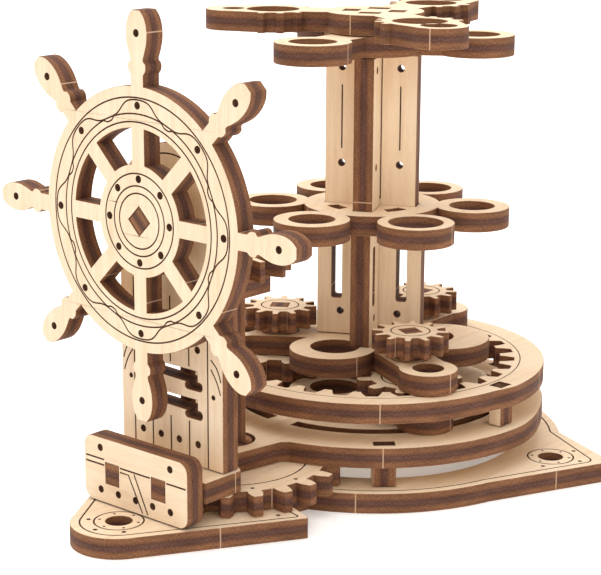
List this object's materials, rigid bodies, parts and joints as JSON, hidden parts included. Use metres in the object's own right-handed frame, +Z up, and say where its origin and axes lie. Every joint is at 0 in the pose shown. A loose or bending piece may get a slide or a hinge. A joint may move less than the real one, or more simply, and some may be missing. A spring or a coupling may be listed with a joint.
{
  "type": "desk organiser carousel",
  "caption": "Flat-cut plywood desk organiser: a ship's wheel on a small tower turns a tiered pen carousel through wooden spur and planet gears.",
  "frame": {"origin": "middle of the base's bounding rectangle, at the underside of the base plate", "axes": "+Z up; +X from the ship's wheel towards the carousel, along the base's line of symmetry; +Y to the left of someone who looks along +X"},
  "size_m": [0.1214, 0.0988, 0.0968],
  "materials": {
    "ply_plates": "raw birch plywood, flat-cut, with toasted brown edges",
    "ply_gears": "raw birch plywood, flat-cut, with toasted brown teeth",
    "ply_boards": "raw birch plywood, flat-cut, with fine scored lines",
    "ply_rods": "square plywood rods, toasted brown on all sides"
  },
  "bodies": {
    "base": {"base_plate": "ply_plates", "lower_deck": "ply_plates", "deck_post_1": "ply_boards", "deck_post_2": "ply_boards", "deck_post_3": "ply_boards", "ring_spacer_1": "ply_boards", "ring_spacer_2": "ply_boards", "ring_spacer_3": "ply_boards", "ring_gear": "ply_gears", "tower_front": "ply_boards", "tower_bracket": "ply_boards", "tower_rib": "ply_boards", "sign_plate": "ply_boards"},
    "carousel": {"main_gear": "ply_gears", "main_rod": "ply_rods", "carrier": "ply_plates", "low_carrier": "ply_plates", "column_a": "ply_boards", "column_b": "ply_boards", "mid_tray": "ply_plates", "low_tray": "ply_plates", "top_tray": "ply_plates"},
    "drive": {"drive_gear": "ply_gears", "drive_rod": "ply_rods", "crown_gear": "ply_gears"},
    "wheel": {"wheel": "ply_boards", "wheel_rod": "ply_rods", "wheel_gear": "ply_gears"},
    "planet_set_1": {"planet_1": "ply_gears", "planet_rod_1": "ply_rods", "small_gear_1": "ply_gears"},
    "planet_set_2": {"planet_2": "ply_gears", "planet_rod_2": "ply_rods", "small_gear_2": "ply_gears"},
    "planet_set_3": {"planet_3": "ply_gears", "planet_rod_3": "ply_rods", "small_gear_3": "ply_gears"}
  },
  "joints": [
    {"name": "carousel_spin", "type": "hinge", "parent": "base", "child": "carousel", "pos_m": [0.0207, 0, 0], "axis": [0, 0, 1], "continuous": true},
    {"name": "planet_1_spin", "type": "hinge", "parent": "carousel", "child": "planet_set_1", "pos_m": [0.01237, -0.01708, 0], "axis": [0, 0, 1], "continuous": true},
    {"name": "planet_2_spin", "type": "hinge", "parent": "carousel", "child": "planet_set_2", "pos_m": [0.03965, 0.00133, 0], "axis": [0, 0, 1], "continuous": true},
    {"name": "planet_3_spin", "type": "hinge", "parent": "carousel", "child": "planet_set_3", "pos_m": [0.01008, 0.01575, 0], "axis": [0, 0, 1], "continuous": true},
    {"name": "drive_spin", "type": "hinge", "parent": "base", "child": "drive", "pos_m": [-0.0218, 0, 0], "axis": [0, 0, 1], "continuous": true},
    {"name": "wheel_spin", "type": "hinge", "parent": "base", "child": "wheel", "pos_m": [-0.0453, 0, 0.0592], "axis": [1, 0, 0], "continuous": true}
  ],
  "couplings": [
    {"joint": "planet_1_spin", "follows": "carousel_spin", "ratio": -3},
    {"joint": "planet_2_spin", "follows": "carousel_spin", "ratio": -3},
    {"joint": "planet_3_spin", "follows": "carousel_spin", "ratio": -3},
    {"joint": "drive_spin", "follows": "carousel_spin", "ratio": -1.0909},
    {"joint": "wheel_spin", "follows": "carousel_spin", "ratio": 1.0909}
  ]
}
